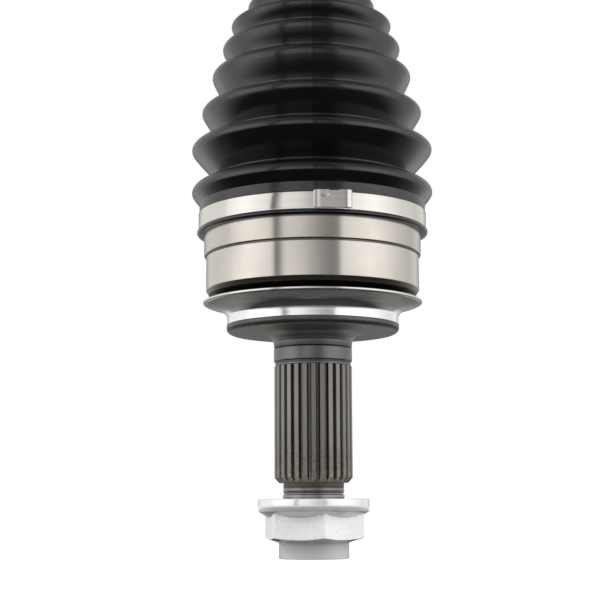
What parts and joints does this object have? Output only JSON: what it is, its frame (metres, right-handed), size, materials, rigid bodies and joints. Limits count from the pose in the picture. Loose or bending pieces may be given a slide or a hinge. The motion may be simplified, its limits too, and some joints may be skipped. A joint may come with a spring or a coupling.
{
  "type": "cv axle shaft",
  "caption": "Front half-shaft with a ball joint and splined stub at the wheel end, a bar, and a plunging tripod joint at the gearbox end.",
  "frame": {"origin": "on the shaft's axis at the top of the hub pilot collar, 6.4 mm below the shoulder face", "axes": "+Z along the shaft from the wheel end to the gearbox end; -Y is the side the picture was taken from"},
  "size_m": [0.0985, 0.0986, 0.5854],
  "materials": {
    "housing_steel": "satin",
    "spring_steel": "satin",
    "bushing_plastic": "matte",
    "band_stainless": "satin",
    "boot_elastomer": "satin",
    "spider_steel": "ground",
    "bearing_steel": "polished",
    "bar_enamel": "satin",
    "cage_steel": "ground",
    "race_steel": "turned and ground",
    "slinger_steel": "pressed",
    "nut_zinc": "zinc plated"
  },
  "bodies": {
    "gearbox_side": {"inner_housing": "housing_steel", "gearbox_circlip": "spring_steel", "boot_bushing": "bushing_plastic", "inner_boot_large_clamp": "band_stainless"},
    "inner_carriage": {"needles_1": "bearing_steel", "inner_boot": "boot_elastomer"},
    "roller_a": {"roller_1": "bearing_steel"},
    "roller_b": {"roller_2": "bearing_steel"},
    "roller_c": {"roller_3": "bearing_steel"},
    "shaft": {"axle_bar": "bar_enamel", "tripod_spider": "spider_steel", "spider_ring_lower": "spring_steel", "spider_ring_upper": "spring_steel", "needles_2": "bearing_steel", "needles_3": "bearing_steel", "roller_retainer_1": "spring_steel", "roller_retainer_2": "spring_steel", "roller_retainer_3": "spring_steel", "bar_circlip": "spring_steel", "inner_race": "race_steel", "inner_boot_small_clamp": "band_stainless", "outer_boot_small_clamp": "band_stainless"},
    "outer_swing": {"outer_boot": "boot_elastomer"},
    "lead_ball": {"ball_1": "bearing_steel"},
    "cage": {"outer_cage": "cage_steel", "ball_2": "bearing_steel", "ball_3": "bearing_steel", "ball_4": "bearing_steel", "ball_5": "bearing_steel", "ball_6": "bearing_steel"},
    "wheel_side": {"outer_race": "race_steel", "dust_slinger": "slinger_steel", "outer_boot_large_clamp": "band_stainless"},
    "nut": {"axle_nut": "nut_zinc"}
  },
  "joints": [
    {"name": "plunge", "type": "slide", "parent": "gearbox_side", "child": "inner_carriage", "axis": [0, 0, 1], "range_m": [-0.008, 0.02], "deforming": ["inner_boot"]},
    {"name": "inner_tilt", "type": "hinge", "parent": "inner_carriage", "child": "shaft", "pos_m": [0, 0, 0.3859], "axis": [0, 1, 0], "range_deg": [-15, 15], "deforming": ["inner_boot"]},
    {"name": "roller_a_spin", "type": "hinge", "parent": "inner_carriage", "child": "roller_a", "pos_m": [0, 0, 0.3859], "axis": [0, 1, 0], "range_deg": [-28, 70]},
    {"name": "roller_b_spin", "type": "hinge", "parent": "shaft", "child": "roller_b", "pos_m": [0, 0, 0.3859], "axis": [-0.866, -0.5, 0], "range_deg": [-28, 70]},
    {"name": "roller_c_spin", "type": "hinge", "parent": "shaft", "child": "roller_c", "pos_m": [0, 0, 0.3859], "axis": [0.866, -0.5, 0], "range_deg": [-28, 70]},
    {"name": "jounce", "type": "hinge", "parent": "shaft", "child": "outer_swing", "pos_m": [0, 0, 0.0399], "axis": [0, 1, 0], "range_deg": [-10, 10], "deforming": ["outer_boot"]},
    {"name": "steer", "type": "hinge", "parent": "outer_swing", "child": "wheel_side", "pos_m": [0, 0, 0.0399], "axis": [1, 0, 0], "range_deg": [-40, 40], "deforming": ["outer_boot"]},
    {"name": "cage_jounce", "type": "hinge", "parent": "shaft", "child": "lead_ball", "pos_m": [0, 0, 0.0399], "axis": [0, 1, 0], "range_deg": [-5, 5]},
    {"name": "cage_steer", "type": "hinge", "parent": "lead_ball", "child": "cage", "pos_m": [0, 0, 0.0399], "axis": [1, 0, 0], "range_deg": [-20, 20]},
    {"name": "nut_off", "type": "slide", "parent": "wheel_side", "child": "nut", "axis": [0, 0, -1], "range_m": [0, 0.09]}
  ],
  "couplings": [
    {"joint": "roller_a_spin", "follows": "plunge", "rad_per_m": 60.606},
    {"joint": "roller_b_spin", "follows": "plunge", "rad_per_m": 60.606},
    {"joint": "roller_c_spin", "follows": "plunge", "rad_per_m": 60.606},
    {"joint": "cage_jounce", "follows": "jounce", "ratio": 0.5},
    {"joint": "cage_steer", "follows": "steer", "ratio": 0.5}
  ]
}
